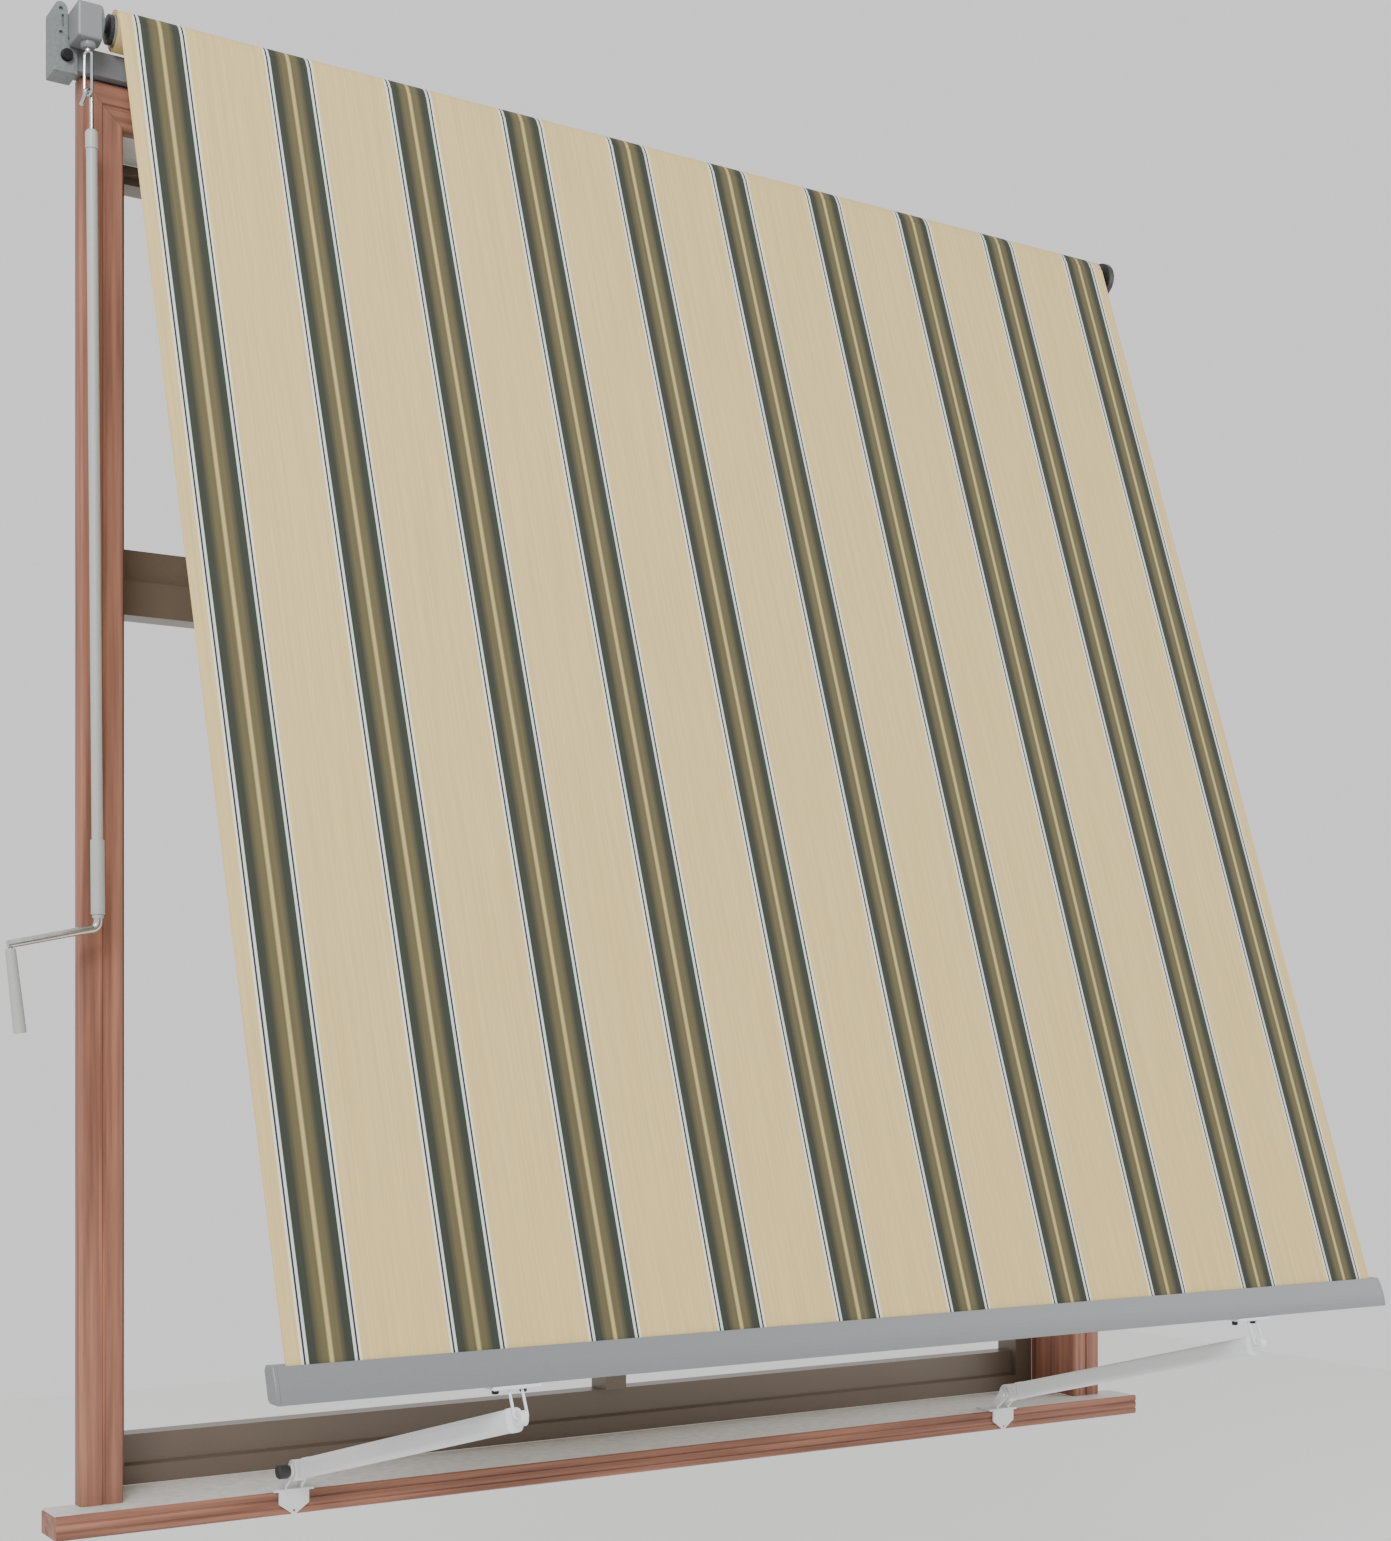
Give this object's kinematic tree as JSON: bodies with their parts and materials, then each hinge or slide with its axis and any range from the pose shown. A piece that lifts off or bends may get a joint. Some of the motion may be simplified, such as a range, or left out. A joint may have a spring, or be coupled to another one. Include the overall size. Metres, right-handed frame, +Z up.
{
  "type": "drop-arm window awning",
  "caption": "Striped canvas drop-arm awning wound on a roller by a hanging crank, on its timber window surround with a bronze frame.",
  "frame": {"origin": "on the wall's outer face, at the middle of the sill nosing's back, halfway up the nosing", "axes": "+Z up, +X to the right seen from outside, +Y into the wall"},
  "size_m": [2.4396, 1.036, 2.5127],
  "materials": {
    "timber": "weathered reddish brown stain",
    "pale_board": "satin off-white paint",
    "bronze_frame": "satin dark bronze coating",
    "grey_paint": "satin grey paint",
    "front_bar_paint": "satin grey coating",
    "grey_casting": "matt grey-green coated casting",
    "white_paint": "satin white coating",
    "bright_steel": "bright plated steel",
    "roller_steel": "galvanised steel",
    "dark_steel": "blackened steel",
    "dark_plastic": "matt black",
    "pale_plastic": "matt pale grey",
    "canvas": "woven, striped canvas"
  },
  "bodies": {
    "surround": {"casing_left": "timber", "casing_right": "timber", "casing_head": "timber", "sill_nosing": "timber", "lining_left": "timber", "lining_right": "timber", "sill_board": "pale_board", "lining_head": "pale_board", "frame_left": "bronze_frame", "frame_right": "bronze_frame", "frame_bottom": "bronze_frame", "frame_head": "bronze_frame", "mullion": "bronze_frame", "transom_left": "bronze_frame", "transom_right": "bronze_frame", "square_bar": "grey_paint", "gear_housing": "grey_paint", "bracket_left": "grey_casting", "roller_plate": "grey_casting", "bracket_right": "dark_plastic", "pivot_bolt_left": "dark_plastic", "clamp_bolt": "dark_steel", "sill_bracket_left": "white_paint", "sill_bracket_right": "white_paint", "pivot_bolt_right": "white_paint"},
    "roller": {"roller_tube": "roller_steel", "fabric_roll": "canvas", "roller_plug_left": "dark_plastic", "roller_plug_right": "dark_plastic"},
    "sheet": {"fabric": "canvas"},
    "arm_left": {"arm_hub_left": "white_paint", "arm_tube_left": "white_paint", "arm_end_left": "white_paint"},
    "arm_right": {"arm_hub_right": "white_paint", "arm_tube_right": "white_paint", "arm_end_right": "white_paint"},
    "drop_bar": {"front_bar": "front_bar_paint", "front_bar_cap_left": "front_bar_paint", "front_bar_cap_right": "front_bar_paint", "clip_bolt_left_1": "dark_steel", "clip_bolt_left_2": "dark_steel", "clip_bolt_right_1": "dark_steel", "clip_bolt_right_2": "dark_steel", "clip_left": "white_paint", "shackle_left": "white_paint", "clip_right": "white_paint", "shackle_right": "white_paint"},
    "eye": {"gear_eye": "bright_steel"},
    "crank": {"crank_hook": "bright_steel", "crank_collar": "pale_plastic", "crank_tube": "pale_plastic", "crank_arm": "bright_steel"},
    "grip": {"crank_grip": "pale_plastic"},
    "handle": {"crank_handle": "pale_plastic"}
  },
  "joints": [
    {"name": "arm_left_swing", "type": "hinge", "parent": "surround", "child": "arm_left", "pos_m": [-0.775, -0.109, 0.0596], "axis": [-1, 0, 0], "range_deg": [0, 70.2]},
    {"name": "arm_right_swing", "type": "hinge", "parent": "surround", "child": "arm_right", "pos_m": [0.8, -0.109, 0.0596], "axis": [-1, 0, 0], "range_deg": [0, 70.2]},
    {"name": "front_bar_turn", "type": "hinge", "parent": "arm_left", "child": "drop_bar", "pos_m": [-0.737, -0.853, 0.2496], "axis": [-1, 0, 0], "range_deg": [-86.1, 0]},
    {"name": "fabric_swing", "type": "hinge", "parent": "surround", "child": "sheet", "pos_m": [0, -0.0554, 2.4568], "axis": [-1, 0, 0], "range_deg": [-15.9, 0], "deforming": ["fabric"]},
    {"name": "roller_spin", "type": "hinge", "parent": "surround", "child": "roller", "pos_m": [0, -0.0554, 2.4568], "axis": [-1, 0, 0], "range_deg": [0, 1232]},
    {"name": "eye_spin", "type": "hinge", "parent": "surround", "child": "eye", "pos_m": [-1.128, -0.085, 2.3285], "axis": [0, 0, -1], "range_deg": [-190, 25]},
    {"name": "crank_tilt", "type": "hinge", "parent": "eye", "child": "crank", "pos_m": [-1.128, -0.085, 2.3285], "axis": [-0.5736, 0.8192, 0], "range_deg": [0, 50]},
    {"name": "grip_spin", "type": "hinge", "parent": "crank", "child": "grip", "pos_m": [-1.11149, -0.08041, 1.1176], "axis": [0.0082, 0, -1], "continuous": true},
    {"name": "handle_spin", "type": "hinge", "parent": "crank", "child": "handle", "pos_m": [-1.25158, -0.08041, 0.93658], "axis": [0.1129, 0, -0.9936], "continuous": true}
  ],
  "couplings": [
    {"joint": "arm_right_swing", "follows": "arm_left_swing", "ratio": 1},
    {"joint": "front_bar_turn", "follows": "arm_left_swing", "ratio": -1.2254},
    {"joint": "fabric_swing", "follows": "arm_left_swing", "ratio": -0.22536},
    {"joint": "roller_spin", "follows": "arm_left_swing", "ratio": 17.542}
  ]
}
